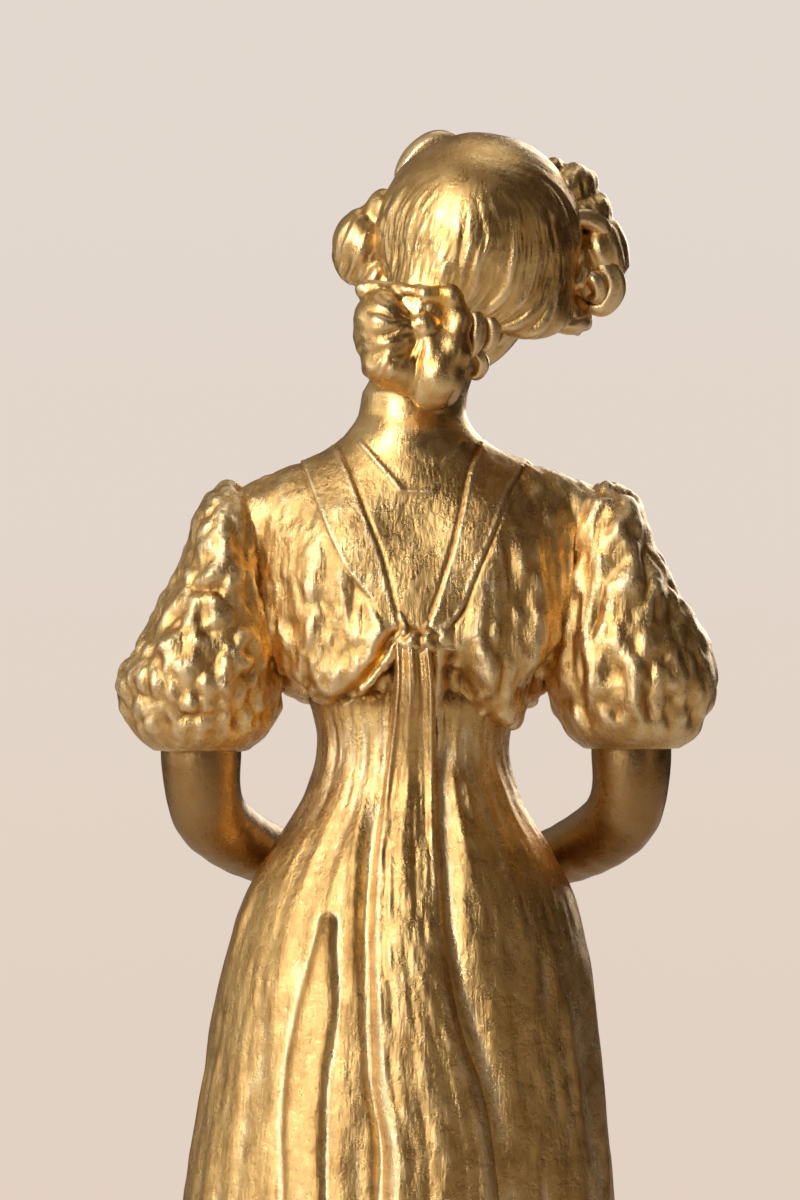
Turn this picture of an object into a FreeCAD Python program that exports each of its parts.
"""A gilt bronze statuette of a standing woman in a high-waisted dress with puffed sleeves, on a marble socle.

The figure faces -Y and stands on +Z. The origin is the middle of the underside, where the felt rests.
The figure is cast in sections: skirt, bodice, sleeves, arms, hands, head, hair and sash. Spigots and pins
hold the sections together, and one tie rod clamps the skirt, the bronze terrace and the marble socle.
All lengths are millimetres.
"""

import FreeCAD
import Part
import Sketcher
import math
import os

from FreeCAD import Placement, Rotation, Vector

DOCUMENT = FreeCAD.newDocument("Statuette")
SHEET = DOCUMENT.addObject("Spreadsheet::Sheet", "Sizes")
X_AXIS = Vector(1, 0, 0)
Y_AXIS = Vector(0, 1, 0)
Z_AXIS = Vector(0, 0, 1)

# Driving dimensions: alias, value.
DIMENSIONS = {
    # base
    "felt_thick": 1.5, "felt_radius": 52.0, "felt_hole_radius": 18.0,
    "socle_radius": 55.0, "socle_height": 25.0, "socle_top_radius": 49.5, "socle_waist_radius": 47.5,
    "plinth_step": 6.0, "bead_radius": 2.2, "bead_setback": 0.3, "neck_hollow": 1.6, "neck_below_top": 5.0,
    "lip_rise": 2.0, "rim_round": 1.0,
    "recess_radius": 15.0, "recess_depth": 12.0, "rod_clearance_radius": 3.3,
    "terrace_radius": 46.5, "terrace_height": 5.0, "terrace_round": 2.0,
    "rod_radius": 3.0, "rod_length": 52.0, "rod_chamfer": 0.6,
    "washer_radius": 11.0, "washer_thick": 1.6, "nut_across_corners": 11.55, "nut_height": 5.0,
    "nut_ease": 0.5, "nut_ease_flare": 2.9, "rod_below_nut": 1.5,
    "locating_radius": 2.0, "locating_length": 11.0, "locating_spacing": 60.0, "locating_rise": 3.0,
    "bridge_width": 14.0, "bridge_thick": 7.0, "bridge_level": 48.0,
    # castings
    "wall": 2.5, "sleeve_wall": 2.2, "bodice_roof": 243.0,
    "waist_spigot_wide": 12.3, "waist_spigot_deep": 9.3, "waist_spigot_wall": 2.0,
    "waist_spigot_height": 19.0, "waist_spigot_level": 196.5,
    "neck_spigot_radius": 4.0, "neck_spigot_height": 17.0, "neck_spigot_level": 245.0,
    "pin_radius": 0.8, "pin_grip": 1.2, "pin_setback": 0.3, "waist_pin_level": 202.5,
    "shoulder_pin_length": 6.0, "shoulder_pin_out": 20.2,
    "shoulder_pin_low": 221.0, "shoulder_pin_high": 229.0,
    "arm_pin_depth": 2.0, "arm_pin_rise": 1.9,
    # arms: joints of the left arm, from the chest's middle; the right arm mirrors it
    "chest_middle": -1.0,
    "elbow_out": 35.0, "elbow_front": 1.0, "elbow_level": 193.0,
    "wrist_out": 12.5, "wrist_front": 25.5, "wrist_level": 179.5,
    "arm_top_level": 201.5, "arm_top_radius": 6.1, "elbow_radius": 5.7, "wrist_radius": 3.5,
    "arm_spigot_radius": 5.0, "arm_spigot_height": 10.0,
    "hand_length": 9.5, "hand_round": 5.2, "dowel_length": 8.0,
    "palm_out": 4.9, "palm_back": 0.9, "palm_slope": 26.0, "left_palm_drop": 4.1, "right_palm_drop": 5.5,
    # head: its middle, how it leans, and its size
    "head_side": -11.2, "head_front": 3.0, "head_level": 282.6,
    "head_roll": -20.0, "head_yaw": -12.0, "head_nod": 6.0,
    "cap_round": 17.0, "cap_deep": 18.0,
    "face_round": 13.0, "face_high": 17.5, "face_forward": 6.5, "face_drop": 5.0,
    "skull_wall": 4.0, "vent_radius": 2.4, "vent_rise": 6.0, "vent_drop": 8.0,
    "nape_long": 13.0, "nape_round": 9.6, "nape_skull_back": 4.0, "nape_skull_drop": 4.0,
    "nape_knot_in": 4.0, "nape_knot_rise": 5.0,
    "roll_ring_radius": 16.2, "roll_tube_radius": 4.4, "roll_forward": 7.0, "roll_drop": 1.6,
    "roll_sweep": 240.0,
    "lobe_round": 5.4, "left_lobe_high": 7.4, "right_lobe_high": 9.4,
    "chignon_side": 0.2, "chignon_back": 10.5, "chignon_level": 264.4,
    "left_lobe_side": 3.2, "left_lobe_rise": 1.0, "left_lobe_lean": 24.0,
    "right_lobe_side": -3.0, "right_lobe_rise": -0.4, "right_lobe_lean": 8.0,
    # sash
    "knot_wide": 4.8, "knot_round": 4.0, "knot_level": 217.5, "knot_back": 14.6,
    "tail_thick": 1.6, "tail_top": 214.0, "tail_bottom": 45.0,
    "tail_top_left": 3.4, "tail_top_right": -3.4, "tail_bottom_left": 14.0, "tail_bottom_right": -20.0,
}

# Cross sections, from the bottom up: level, half width, half depth, middle in X, middle in Y.
SECTIONS = {
    "skirt": [
        (31.5, 44.0, 38.5, 0.8, 4.0),
        (45.0, 41.0, 35.5, 0.9, 3.6),
        (70.0, 38.2, 31.5, 1.2, 3.0),
        (100.0, 36.2, 28.0, 1.4, 2.6),
        (128.5, 34.2, 25.0, 1.5, 2.0),
        (152.0, 31.4, 22.6, 0.8, 1.4),
        (168.5, 28.8, 20.8, 0.4, 1.0),
        (177.0, 26.4, 19.0, 0.1, 0.6),
        (185.0, 22.2, 16.4, -0.2, 0.4),
        (193.0, 17.4, 13.6, -0.4, 0.2),
        (201.0, 15.0, 12.1, -0.6, 0.0),
        (206.0, 16.2, 12.8, -0.7, 0.0),
    ],
    "bodice": [
        (206.0, 16.2, 12.8, -0.7, 0.0),
        (210.0, 19.6, 14.6, -1.0, -0.5),
        (215.0, 21.5, 16.5, -1.0, -1.4),
        (222.0, 22.6, 17.8, -1.0, -2.0),
        (230.0, 23.6, 16.4, -1.0, -1.0),
        (237.0, 25.4, 13.2, -1.0, 0.0),
        (241.5, 23.8, 10.8, -0.8, 0.5),
        (245.5, 17.4, 9.4, -0.4, 0.8),
        (249.5, 11.6, 8.8, -0.2, 0.8),
        (253.0, 9.2, 8.4, -0.1, 0.6),
    ],
    "neck": [
        (253.0, 9.2, 8.4, -0.1, 0.6),
        (258.0, 8.0, 7.7, -0.6, 0.2),
        (266.0, 7.7, 7.6, -3.4, -0.6),
        (276.0, 7.7, 7.6, -8.0, -2.0),
    ],
    # the sleeves' middles are counted outwards from the chest's middle
    "sleeve": [
        (201.5, 7.6, 8.0, 34.4, 0.0),
        (205.0, 11.0, 12.0, 34.6, 0.0),
        (210.5, 13.2, 14.2, 34.7, 0.0),
        (216.0, 12.2, 13.8, 33.4, 0.0),
        (223.0, 9.4, 12.4, 32.0, 0.2),
        (231.0, 7.0, 10.4, 30.8, 0.4),
        (238.5, 5.4, 8.0, 30.2, 0.5),
        (242.4, 2.6, 4.2, 29.4, 0.5),
    ],
}

# Cross sections that joints refer to, counted from the bottom up.
WAIST_PINS_AT = 10
SKIRT_TOP = len(SECTIONS["skirt"]) - 1
TAIL_ON_BODICE = range(4)
SLEEVE_HOLLOW = range(1, 7)

# How far a cutting tool runs past the face that it starts from.
OVERLAP = 1.0
TINY = 1e-3
# The sag of a quarter circle, in lengths of its chord.
QUARTER_SAG = (1 - math.sqrt(0.5)) / math.sqrt(2)


def fill_sheet():
    """Writes every driving dimension into the sheet, one row each, with its alias."""
    rows = dict(DIMENSIONS)
    for name, sections in SECTIONS.items():
        for number, section in enumerate(sections):
            for key, size in zip(("level", "wide", "deep", "side", "back"), section):
                rows[f"{name}_{number}_{key}"] = size
    for row, (alias, size) in enumerate(rows.items(), start=1):
        SHEET.set(f"A{row}", alias)
        SHEET.set(f"B{row}", str(size))
        SHEET.setAlias(f"B{row}", alias)
    DOCUMENT.recompute()


def size(alias):
    """The number in the cell with that alias."""
    return float(SHEET.get(alias))


def bind(thing, **formulas):
    """Binds properties to formulas over the sheet's aliases."""
    for name, formula in formulas.items():
        thing.setExpression(name, formula)


def make(kind, label, **formulas):
    """A document object of that kind, with its properties bound to the sheet."""
    thing = DOCUMENT.addObject(kind, label)
    thing.Label = label
    bind(thing, **formulas)
    return thing


def put(thing, position, rotation=None):
    """Places an object in the row frame."""
    thing.Placement = Placement(position, rotation or Rotation())
    return thing


def cylinder(label, radius, height, position, rotation=None):
    return put(make("Part::Cylinder", label, Radius=radius, Height=height), position, rotation)


def spheroid(label, long_half, round_half, position, along):
    """An egg shape: half an ellipse turned about its longer axis, which points along a given way."""
    arc = Part.Ellipse(Vector(), long_half, round_half).toShape(0, math.pi)
    tips = [vertex.Point for vertex in arc.Vertexes]
    half = Part.Face(Part.Wire([arc, Part.LineSegment(tips[1], tips[0]).toShape()]))
    body = DOCUMENT.addObject("Part::Feature", label)
    body.Label = label
    body.Shape = half.revolve(Vector(), X_AXIS, 360)
    return put(body, position, Rotation(X_AXIS, along))


def cut(label, base, tool):
    result = make("Part::Cut", label)
    result.Base = base
    result.Tool = tool
    return result


def common(label, first, second):
    result = make("Part::Common", label)
    result.Base = first
    result.Tool = second
    return result


def fuse(label, *shapes):
    result = make("Part::MultiFuse", label)
    result.Shapes = list(shapes)
    return result


# ---------------------------------------------------------------- lofted castings


def ellipse(label, kind, number, side, inset):
    """One cross section of a loft; its longer radius lies along Y on a sleeve and along X elsewhere."""
    cell = f"Sizes.{kind}_{number}_"
    wide, deep = f"{cell}wide{inset}", f"{cell}deep{inset}"
    turned = kind == "sleeve"
    section = make(
        "Part::Ellipse", label, MajorRadius=deep if turned else wide, MinorRadius=wide if turned else deep
    )
    middle = f"{cell}side" if side == 0 else f"Sizes.chest_middle + {side} * {cell}side"
    section.Placement = Placement(Vector(), Rotation(Z_AXIS, 90 if turned else 0))
    section.setExpression(".Placement.Base.x", middle)
    section.setExpression(".Placement.Base.y", f"{cell}back")
    section.setExpression(".Placement.Base.z", f"{cell}level")
    return section


def loft(label, kind, numbers=None, side=0, inset=""):
    """A closed smooth body through the cross sections of that kind."""
    numbers = range(len(SECTIONS[kind])) if numbers is None else numbers
    body = make("Part::Loft", label)
    body.Sections = [ellipse(f"{label}_section_{n}", kind, n, side, inset) for n in numbers]
    body.Solid = True
    return body


def mouth_plug(label, kind, number, start):
    """A short elliptic cylinder at a casting's mouth, so that its hollow is cut right through."""
    outline = ellipse(f"{label}_outline", kind, number, 0, " - Sizes.wall")
    outline.setExpression(".Placement.Base.z", f"Sizes.{kind}_{number}_level + ({start})")
    return upright(label, outline, OVERLAP + TINY)


def upright(label, outline, height):
    """A flat outline given a thickness, along Z until told otherwise."""
    body = make("Part::Extrusion", label)
    body.Base = outline
    body.DirMode = "Custom"
    body.Dir = Z_AXIS
    body.LengthFwd = height
    body.Solid = True
    return body


# ---------------------------------------------------------------- sketched base pieces


def new_body(label):
    body = DOCUMENT.addObject("PartDesign::Body", label)
    body.Label = label
    return body


def sketch_on(body, role, name):
    """An empty sketch on one of the body's origin planes."""
    plane = next(f for f in body.Origin.OriginFeatures if f.Role == role)
    sketch = body.newObject("Sketcher::SketchObject", name)
    sketch.AttachmentSupport = [(plane, "")]
    sketch.MapMode = "FlatFace"
    return sketch


def circle_in(sketch, radius, side="0"):
    """A circle in a sketch, its radius and its distance along X bound to the sheet."""
    number = sketch.addGeometry(Part.Circle(Vector(0.1, 0, 0), Z_AXIS, 1.0))
    sketch.addConstraint(Sketcher.Constraint("PointOnObject", number, 3, -1))
    across = sketch.addConstraint(Sketcher.Constraint("DistanceX", -1, 1, number, 3, 0.1))
    sketch.setExpression(f"Constraints[{across}]", side)
    round_ = sketch.addConstraint(Sketcher.Constraint("Radius", number, 1.0))
    sketch.setExpression(f"Constraints[{round_}]", radius)
    return number


def pad(body, sketch, name, length):
    feature = body.newObject("PartDesign::Pad", name)
    feature.Profile = sketch
    feature.setExpression("Length", length)
    body.Tip = feature
    DOCUMENT.recompute()
    return feature


def pocket_through(body, sketch, name):
    """Cuts a sketch on the body's underside right up through it."""
    before = body.Shape.Volume
    feature = body.newObject("PartDesign::Pocket", name)
    feature.Profile = sketch
    feature.Type = "ThroughAll"
    feature.Reversed = True
    body.Tip = feature
    DOCUMENT.recompute()
    if body.Shape.Volume >= before:
        raise RuntimeError(f"{name} cuts nothing")
    return feature


def lift(body, level):
    body.setExpression(".Placement.Base.z", level)
    return body


def ring_body(label, radius, hole, height, level):
    """A flat ring: a padded disc with a pocket through it."""
    body = new_body(label)
    disc = sketch_on(body, "XY_Plane", f"{label}_outline")
    circle_in(disc, radius)
    pad(body, disc, f"{label}_pad", height)
    bore = sketch_on(body, "XY_Plane", f"{label}_hole")
    circle_in(bore, hole)
    pocket_through(body, bore, f"{label}_pocket")
    return lift(body, level)


def base_felt():
    return ring_body("base_felt", "Sizes.felt_radius", "Sizes.felt_hole_radius", "Sizes.felt_thick", "0")


def socle_outline():
    """Half the socle's section: a square-edged plinth, a bead, a hollow neck and an upper moulding."""
    radius, height = size("socle_radius"), size("socle_height")
    step, bead = size("plinth_step"), size("bead_radius")
    top, waist = size("socle_top_radius"), size("socle_waist_radius")
    recess, depth, bore = size("recess_radius"), size("recess_depth"), size("rod_clearance_radius")
    bead_in = radius - bead - size("bead_setback")
    neck_low = step + 2 * bead
    neck_high = height - size("neck_below_top")
    round_ = size("rim_round")
    points = {
        "recess_mouth": (recess, 0), "foot": (radius, 0), "plinth_top": (radius, step),
        "bead_low": (bead_in, step), "bead_high": (bead_in, neck_low), "neck_low": (waist, neck_low),
        "neck_high": (waist, neck_high), "lip_low": (top, neck_high + size("lip_rise")),
        "lip_high": (top, height - round_), "rim": (top - round_, height), "bore_top": (bore, height),
        "bore_low": (bore, depth), "recess_roof": (recess, depth),
    }
    return {name: Vector(x, y, 0) for name, (x, y) in points.items()}


def arc_middle(start, end, sag):
    """The middle of an arc that leaves its chord by the sag, to the right of the way from start to end."""
    along = (end - start).normalize()
    return (start + end) / 2 + Vector(along.y, -along.x, 0) * sag


def quarter_middle(start, end, way):
    """The middle of a quarter circle that bulges to the right (1) or the left (-1) of its way."""
    return arc_middle(start, end, way * QUARTER_SAG * (end - start).Length)


def marble_socle():
    """The turned marble socle, with a bore for the tie rod, a recess for its nut and two pin holes."""
    p = socle_outline()
    body = new_body("socle_turned")
    sketch = sketch_on(body, "XZ_Plane", "socle_section")
    bulges = {
        "bead_low": arc_middle(p["bead_low"], p["bead_high"], size("bead_radius")),
        "neck_low": arc_middle(p["neck_low"], p["neck_high"], -size("neck_hollow")),
        "neck_high": quarter_middle(p["neck_high"], p["lip_low"], -1),
        "lip_high": quarter_middle(p["lip_high"], p["rim"], 1),
    }
    names = list(p)
    for here, there in zip(names, names[1:] + names[:1]):
        if here in bulges:
            sketch.addGeometry(Part.Arc(p[here], bulges[here], p[there]))
        else:
            sketch.addGeometry(Part.LineSegment(p[here], p[there]))
    turn = body.newObject("PartDesign::Revolution", "socle_turning")
    turn.Profile = sketch
    turn.ReferenceAxis = (sketch, ["V_Axis"])
    turn.Angle = 360
    body.Tip = turn
    DOCUMENT.recompute()
    lift(body, "Sizes.felt_thick")
    return cut("marble_socle", body, locating_pin_pair("socle_pin_holes"))


def locating_pin_pair(label):
    """Two dowels across the joint between the socle and the terrace."""
    level = size("felt_thick") + size("socle_height") - size("locating_length") + size("locating_rise")
    pins = [
        cylinder(f"{label}_{n}", "Sizes.locating_radius", "Sizes.locating_length",
                 Vector(sign * size("locating_spacing") / 2, 0, level))
        for n, sign in enumerate((1, -1))
    ]
    return fuse(label, *pins)


def bronze_terrace():
    """The ground that the figure stands on: a disc with a rounded rim, a rod hole and two pin holes."""
    body = new_body("terrace_disc")
    disc = sketch_on(body, "XY_Plane", "terrace_outline")
    circle_in(disc, "Sizes.terrace_radius")
    pad(body, disc, "terrace_pad", "Sizes.terrace_height")
    bore = sketch_on(body, "XY_Plane", "terrace_hole")
    circle_in(bore, "Sizes.rod_clearance_radius")
    pocket_through(body, bore, "terrace_pocket")
    rim = body.newObject("PartDesign::Fillet", "terrace_rim")
    top, radius = size("terrace_height"), size("terrace_radius")
    names = [
        f"Edge{n}" for n, edge in enumerate(body.Shape.Edges, start=1)
        if abs(edge.BoundBox.ZMin - top) < TINY and edge.BoundBox.XMax > radius - TINY
        and edge.BoundBox.ZLength < TINY
    ]
    rim.Base = (body.getObject("terrace_pocket"), names)
    rim.setExpression("Radius", "Sizes.terrace_round")
    body.Tip = rim
    DOCUMENT.recompute()
    lift(body, "Sizes.felt_thick + Sizes.socle_height")
    return cut("bronze_terrace", body, locating_pin_pair("terrace_pin_holes"))


def tie_washer():
    under_roof = "Sizes.felt_thick + Sizes.recess_depth - Sizes.washer_thick"
    return ring_body("tie_washer", "Sizes.washer_radius", "Sizes.rod_radius", "Sizes.washer_thick",
                     under_roof)


def tie_nut():
    """A hexagon nut below the washer, its corners eased."""
    level = size("felt_thick") + size("recess_depth") - size("washer_thick") - size("nut_height")
    hexagon = make("Part::Prism", "nut_hexagon", Circumradius="Sizes.nut_across_corners / 2",
                   Height="Sizes.nut_height")
    hexagon.Polygon = 6
    put(hexagon, Vector(0, 0, level))
    easing = make("Part::Cone", "nut_easing", Height="Sizes.nut_height",
                  Radius1="Sizes.nut_across_corners / 2 - Sizes.nut_ease",
                  Radius2="Sizes.nut_across_corners / 2 - Sizes.nut_ease + Sizes.nut_ease_flare")
    put(easing, Vector(0, 0, level))
    eased = common("nut_blank", hexagon, easing)
    bore = cylinder("nut_bore", "Sizes.rod_radius", f"Sizes.nut_height + 2 * {OVERLAP}",
                    Vector(0, 0, level - OVERLAP))
    return cut("tie_nut", eased, bore)


def tie_rod():
    """A plain rod standing in for the threaded one, chamfered at both ends."""
    body = new_body("tie_rod")
    disc = sketch_on(body, "XY_Plane", "rod_outline")
    circle_in(disc, "Sizes.rod_radius")
    pad(body, disc, "rod_pad", "Sizes.rod_length")
    ends = body.newObject("PartDesign::Chamfer", "rod_ends")
    edges = [
        f"Edge{n}" for n, edge in enumerate(body.Shape.Edges, start=1)
        if edge.BoundBox.ZLength < TINY
    ]
    ends.Base = (body.getObject("rod_pad"), edges)
    ends.setExpression("Size", "Sizes.rod_chamfer")
    body.Tip = ends
    DOCUMENT.recompute()
    return lift(body, "Sizes.felt_thick + Sizes.recess_depth - Sizes.washer_thick - Sizes.nut_height"
                " - Sizes.rod_below_nut")


def rod_bridge(hollow):
    """The bar across the inside of the skirt that the tie rod screws into."""
    bar = make("Part::Box", "bridge_bar", Length="2 * Sizes.socle_radius", Width="Sizes.bridge_width",
               Height="Sizes.bridge_thick")
    put(bar, Vector(-size("socle_radius"), -size("bridge_width") / 2, size("bridge_level")))
    trimmed = common("bridge_between_walls", bar, hollow)
    bore = cylinder("bridge_bore", "Sizes.rod_radius", f"Sizes.bridge_thick + 2 * {OVERLAP}",
                    Vector(0, 0, size("bridge_level") - OVERLAP))
    return cut("rod_bridge", trimmed, bore)


# ---------------------------------------------------------------- figure: body sections


def waist_middle(level):
    """The middle of the waist joint at a level."""
    section = f"skirt_{WAIST_PINS_AT}"
    return Vector(size(f"{section}_side"), size(f"{section}_back"), level)


def waist_pins():
    """Four pins, square to each other, through the skirt's top edge into the waist spigot."""
    pins = []
    for n, way in enumerate((X_AXIS, Y_AXIS, -X_AXIS, -Y_AXIS)):
        across = "wide" if way.x else "deep"
        start = f"(Sizes.waist_spigot_{across} - Sizes.pin_grip)"
        end = f"(Sizes.skirt_{WAIST_PINS_AT}_{across} - Sizes.pin_setback)"
        foot = waist_middle(size("waist_pin_level"))
        foot += way * (size(f"waist_spigot_{across}") - size("pin_grip"))
        pins.append(cylinder(f"waist_pin_{n}", "Sizes.pin_radius", f"{end} - {start}", foot,
                             Rotation(Z_AXIS, way)))
    return fuse("waist_pins", *pins)


def elliptic_post(label, inset, height, level):
    """An upright elliptic cylinder in the middle of the waist joint."""
    outline = make("Part::Ellipse", f"{label}_outline", MajorRadius=f"Sizes.waist_spigot_wide - {inset}",
                   MinorRadius=f"Sizes.waist_spigot_deep - {inset}")
    return upright(label, put(outline, waist_middle(level)), height)


def waist_spigot(pins):
    """The elliptic sleeve inside the waist joint."""
    level, height = size("waist_spigot_level"), size("waist_spigot_height")
    outer = elliptic_post("spigot_outer", "0", height, level)
    inner = elliptic_post("spigot_inner", "Sizes.waist_spigot_wall", height + 2 * OVERLAP, level - OVERLAP)
    return cut("waist_spigot", cut("spigot_tube", outer, inner), pins)


def hollow_casting(label, kind, numbers=None, side=0, wall="Sizes.wall"):
    """A loft and the loft of its hollow, a wall's thickness inside it."""
    outer = loft(f"{label}_outer", kind, side=side)
    inner = loft(f"{label}_inner", kind, numbers=numbers, side=side, inset=f" - {wall}")
    return outer, inner


def sash_tail(skirt_outer, bodice_outer):
    """The sash's end: a strip that lies down the back of the skirt and widens towards the hem."""
    raised = fuse("tail_raised", loft("tail_skirt", "skirt", inset=" + Sizes.tail_thick"),
                  loft("tail_bodice", "bodice", numbers=TAIL_ON_BODICE, inset=" + Sizes.tail_thick"))
    corners = [
        ("tail_top_left", "tail_top"), ("tail_top_right", "tail_top"),
        ("tail_bottom_right", "tail_bottom"), ("tail_bottom_left", "tail_bottom"),
    ]
    points = [Vector(size(across), 0, size(level)) for across, level in corners]
    outline = DOCUMENT.addObject("Part::Feature", "tail_outline")
    outline.Shape = Part.Face(Part.makePolygon(points + points[:1]))
    prism = upright("tail_prism", outline, size("socle_radius"))
    prism.Dir = Y_AXIS
    strip = common("tail_strip", raised, prism)
    return cut("sash_tail", cut("tail_off_skirt", strip, skirt_outer), bodice_outer)


# ---------------------------------------------------------------- figure: arms and hands


def arm_points(side):
    """The left (1) or right (-1) arm's top, elbow and wrist."""
    middle = size("chest_middle")
    top = Vector(middle + side * size("sleeve_0_side"), 0, size("arm_top_level"))
    elbow = Vector(middle + side * size("elbow_out"), -size("elbow_front"), size("elbow_level"))
    wrist = Vector(middle + side * size("wrist_out"), -size("wrist_front"), size("wrist_level"))
    return top, elbow, wrist


def limb(label, start, end, start_radius, end_radius):
    """A tapered round bar between two points."""
    cone = make("Part::Cone", label, Radius1=start_radius, Radius2=end_radius)
    cone.Height = (end - start).Length
    return put(cone, start, Rotation(Z_AXIS, end - start))


def arm_outer(side, name):
    """The bare arm, bent at the elbow, with its spigot up into the sleeve."""
    top, elbow, wrist = arm_points(side)
    spigot = cylinder(f"{name}_spigot", "Sizes.arm_spigot_radius", "Sizes.arm_spigot_height", top)
    upper = limb(f"{name}_upper", top, elbow, "Sizes.arm_top_radius", "Sizes.elbow_radius")
    joint = put(make("Part::Sphere", f"{name}_elbow", Radius="Sizes.elbow_radius"), elbow)
    fore = limb(f"{name}_fore", elbow, wrist, "Sizes.elbow_radius * 0.95", "Sizes.wrist_radius")
    return fuse(f"{name}_blank", spigot, upper, joint, fore)


def wrist_dowel(side, name):
    """A dowel along the forearm, half in the arm and half in the hand."""
    _, elbow, wrist = arm_points(side)
    along = (wrist - elbow).normalize()
    return cylinder(name, "Sizes.pin_radius", "Sizes.dowel_length",
                    wrist - along * size("dowel_length") / 2, Rotation(Z_AXIS, along))


def hands_blank():
    """Both hands, laid over each other in front of the skirt."""
    middle = size("chest_middle")
    palms = []
    for name, side in (("left_palm", 1), ("right_palm", -1)):
        heart = Vector(middle + side * size("palm_out"), -size("wrist_front") + size("palm_back"),
                       size("wrist_level") - size(f"{name}_drop"))
        slope = Rotation(Y_AXIS, side * size("palm_slope")).multVec(X_AXIS)
        palms.append(spheroid(name, size("hand_length"), size("hand_round"), heart, slope))
    return fuse("hands_blank", *palms)


def shoulder_pins():
    """Two pins a side that fix each sleeve to the bodice."""
    pins = []
    for side in (1, -1):
        for level in (size("shoulder_pin_low"), size("shoulder_pin_high")):
            start = Vector(size("chest_middle") + side * size("shoulder_pin_out"), 0, level)
            pins.append(cylinder(f"shoulder_pin_{len(pins)}", "Sizes.pin_radius", "Sizes.shoulder_pin_length",
                                 start, Rotation(Z_AXIS, X_AXIS * side)))
    return fuse("shoulder_pins", *pins)


def arm_pins():
    """One pin a side, through the sleeve's hem into the arm's spigot."""
    pins = []
    for side in (1, -1):
        top, _, _ = arm_points(side)
        inner = size("arm_spigot_radius") - size("arm_pin_depth")
        start = top + Vector(side * inner, 0, size("arm_pin_rise"))
        length = f"Sizes.sleeve_1_wide - Sizes.sleeve_wall - {inner}"
        pins.append(cylinder(f"arm_pin_{len(pins)}", "Sizes.pin_radius", length, start,
                             Rotation(Z_AXIS, X_AXIS * side)))
    return fuse("arm_pins", *pins)


# ---------------------------------------------------------------- figure: head and hair


def head_rotation():
    """How the head leans to its right, turns to its right and nods."""
    lean = Rotation(Y_AXIS, size("head_roll"))
    turn = Rotation(Z_AXIS, size("head_yaw"))
    nod = Rotation(X_AXIS, size("head_nod"))
    return lean.multiply(turn).multiply(nod)


def head_point(side, back, up):
    """A point given in the head's own frame."""
    middle = Vector(size("head_side"), -size("head_front"), size("head_level"))
    return middle + head_rotation().multVec(Vector(side, back, up))


def head_blank():
    """The head's outside: the cap of hair, the face, the hair above the nape and the neck."""
    turned = head_rotation()
    cap = spheroid("hair_cap", size("cap_deep"), size("cap_round"), head_point(0, 0, 0),
                   turned.multVec(Y_AXIS))
    face = spheroid("face_blank", size("face_high"), size("face_round"),
                    head_point(0, -size("face_forward"), -size("face_drop")), turned.multVec(Z_AXIS))
    low = Vector(size("chignon_side"), size("chignon_back") - size("nape_knot_in"),
                 size("chignon_level") + size("nape_knot_rise"))
    high = head_point(0, size("nape_skull_back"), -size("nape_skull_drop"))
    nape = spheroid("nape_hair", size("nape_long"), size("nape_round"), (high + low) / 2, low - high)
    return fuse("head_outer", cap, face, nape, loft("neck_outer", "neck"))


def head_hollow():
    """The hollow skull, the neck's bore and the vent that joins them."""
    wall = size("skull_wall")
    core = spheroid("skull_core", size("cap_deep") - wall, size("cap_round") - wall, head_point(0, 0, 0),
                    head_rotation().multVec(Y_AXIS))
    top = head_point(0, 0, -size("vent_drop"))
    foot = Vector(size("neck_0_side"), 0, size("neck_0_level") + size("vent_rise"))
    vent = limb("neck_vent", foot, top, "Sizes.vent_radius", "Sizes.vent_radius")
    return fuse("head_hollow", core, vent, neck_bore("head_neck_bore"))


def neck_bore(label):
    return cylinder(label, "Sizes.neck_spigot_radius", "Sizes.neck_spigot_height",
                    Vector(size("neck_0_side"), 0, size("neck_spigot_level")))


def front_roll_blank():
    """The rolled front hair: an arc of tube that frames the face from ear to ear."""
    ring = make("Part::Torus", "roll_ring", Radius1="Sizes.roll_ring_radius",
                Radius2="Sizes.roll_tube_radius")
    ring.Angle3 = size("roll_sweep")
    start = Rotation(Z_AXIS, 90 - size("roll_sweep") / 2)
    upright = Rotation(X_AXIS, 90)
    return put(ring, head_point(0, -size("roll_forward"), -size("roll_drop")),
               head_rotation().multiply(upright).multiply(start))


def chignon_blank():
    """The looped knot of hair at the nape, as two leaning lobes."""
    heart = Vector(size("chignon_side"), size("chignon_back"), size("chignon_level"))
    lobes = []
    for name in ("left_lobe", "right_lobe"):
        place = heart + Vector(size(f"{name}_side"), 0, size(f"{name}_rise"))
        along = Rotation(Y_AXIS, size(f"{name}_lean")).multVec(Z_AXIS)
        lobes.append(spheroid(name, size(f"{name}_high"), size("lobe_round"), place, along))
    return fuse("chignon_blank", *lobes)


# ---------------------------------------------------------------- assembly


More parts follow.
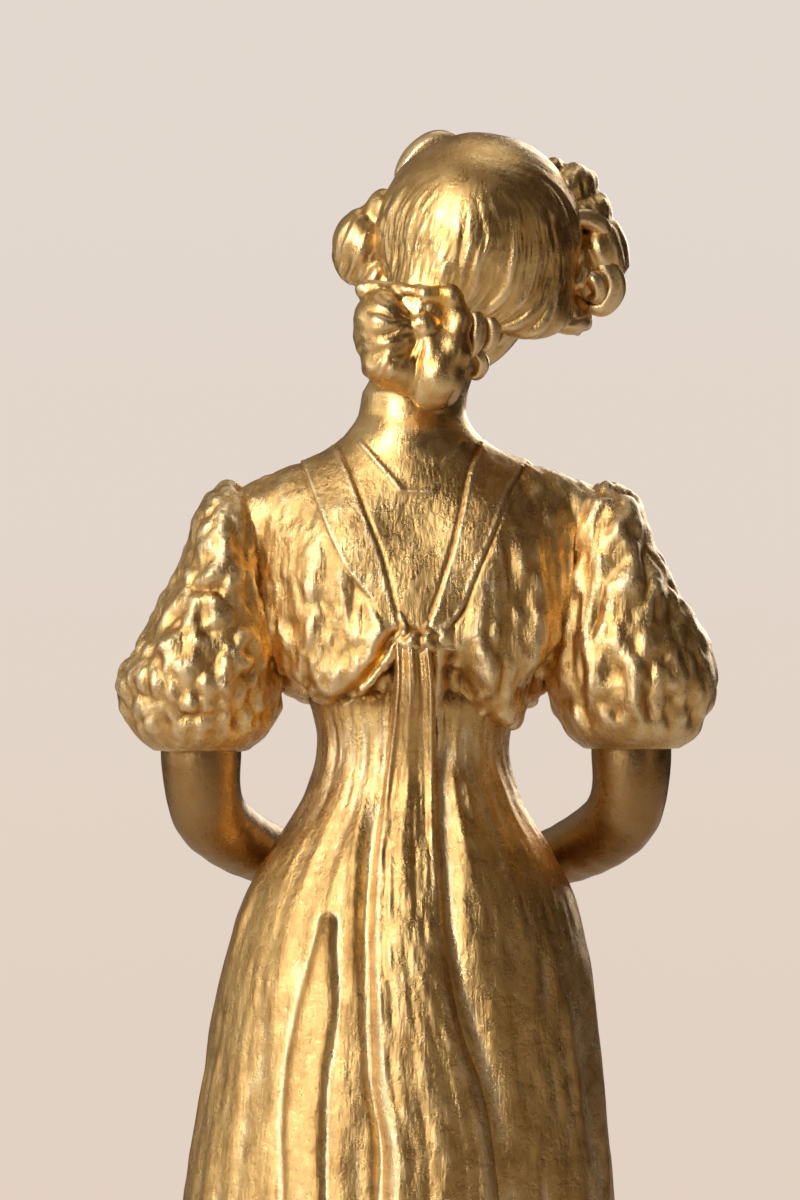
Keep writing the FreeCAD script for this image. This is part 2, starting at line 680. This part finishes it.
def build():
    """Makes every sub-part and returns node name -> document object."""
    fill_sheet()
    parts = {
        "base_felt": base_felt(), "marble_socle": marble_socle(), "bronze_terrace": bronze_terrace(),
        "tie_washer": tie_washer(), "tie_nut": tie_nut(), "tie_rod": tie_rod(),
        "locating_pins": locating_pin_pair("locating_pins"),
    }

    skirt_outer, skirt_inner = hollow_casting("skirt", "skirt")
    skirt_hollow = fuse("skirt_hollow", skirt_inner, mouth_plug("skirt_foot_plug", "skirt", 0, -OVERLAP),
                        mouth_plug("skirt_top_plug", "skirt", SKIRT_TOP, -TINY))
    parts["rod_bridge"] = rod_bridge(skirt_inner)
    pins = waist_pins()
    parts["waist_pins"] = pins
    parts["waist_spigot"] = waist_spigot(pins)
    parts["skirt"] = cut("skirt", cut("skirt_shell", skirt_outer, skirt_hollow), pins)

    last = max(n for n, s in enumerate(SECTIONS["bodice"]) if s[0] < size("bodice_roof"))
    bodice_outer, bodice_inner = hollow_casting("bodice", "bodice", numbers=range(last + 1))
    joints = shoulder_pins()
    parts["shoulder_pins"] = joints
    bodice_hollow = fuse("bodice_hollow", bodice_inner, mouth_plug("bodice_plug", "bodice", 0, -OVERLAP),
                         neck_bore("bodice_neck_bore"))
    parts["bodice"] = cut("bodice", cut("bodice_shell", bodice_outer, bodice_hollow), joints)

    fixings = arm_pins()
    dowels = fuse("wrist_dowels", wrist_dowel(1, "left_dowel"), wrist_dowel(-1, "right_dowel"))
    parts["arm_pins"] = fixings
    parts["wrist_dowels"] = dowels
    blanks = {}
    for name, side in (("left", 1), ("right", -1)):
        arm = arm_outer(side, f"{name}_arm")
        outer, inner = hollow_casting(f"{name}_sleeve", "sleeve", numbers=SLEEVE_HOLLOW, side=side,
                                      wall="Sizes.sleeve_wall")
        hollow = fuse(f"{name}_sleeve_hollow", inner, arm)
        shell = cut(f"{name}_sleeve_shell", outer, hollow)
        fitted = cut(f"{name}_sleeve_fitted", shell, bodice_outer)
        parts[f"{name}_sleeve"] = cut(f"{name}_sleeve", fitted, fuse(f"{name}_sleeve_pins", fixings, joints))
        parts[f"{name}_arm"] = cut(f"{name}_arm", arm, fuse(f"{name}_arm_holes", fixings, dowels))
        blanks[name] = arm
    arms_and_skirt = fuse("hand_neighbours", blanks["left"], blanks["right"], skirt_outer, dowels)
    parts["clasped_hands"] = cut("clasped_hands", hands_blank(), arms_and_skirt)

    head_outer = head_blank()
    parts["neck_spigot"] = neck_bore("neck_spigot")
    parts["head"] = cut("head", head_outer, head_hollow())
    parts["front_hair_roll"] = cut("front_hair_roll", front_roll_blank(), head_outer)
    chignon_neighbours = fuse("chignon_neighbours", head_outer, bodice_outer)
    parts["chignon"] = cut("chignon", chignon_blank(), chignon_neighbours)

    tail = sash_tail(skirt_outer, bodice_outer)
    parts["sash_tail"] = tail
    knot = spheroid("knot_blank", size("knot_wide"), size("knot_round"),
                    Vector(0, size("knot_back"), size("knot_level")), X_AXIS)
    parts["sash_knot"] = cut("sash_knot", knot, fuse("knot_neighbours", bodice_outer, skirt_outer, tail))
    DOCUMENT.recompute()
    return parts


def check(parts):
    """Stops the script if anything failed to rebuild or a sub-part isn't sound."""
    for thing in DOCUMENT.Objects:
        if {"Invalid", "Error"} & set(thing.State):
            raise RuntimeError(f"{thing.Label} failed: {thing.State}")
    for name, thing in parts.items():
        shape = thing.Shape
        if shape.isNull() or not shape.isValid() or not shape.Solids:
            raise RuntimeError(f"{name} has no sound shape")


def write(parts):
    """Writes each sub-part to the file that its label names."""
    os.makedirs("parts", exist_ok=True)
    for name, thing in parts.items():
        if thing.Label != name:
            raise RuntimeError(f"{name} is labelled {thing.Label}")
        thing.Shape.exportStep(os.path.join("parts", f"{thing.Label}.step"))
        box = thing.Shape.BoundBox
        print(f"{name:18s} solids {len(thing.Shape.Solids)}  volume {thing.Shape.Volume:9.1f}  "
              f"z {box.ZMin:6.1f} to {box.ZMax:6.1f}")


PARTS = build()
check(PARTS)
write(PARTS)
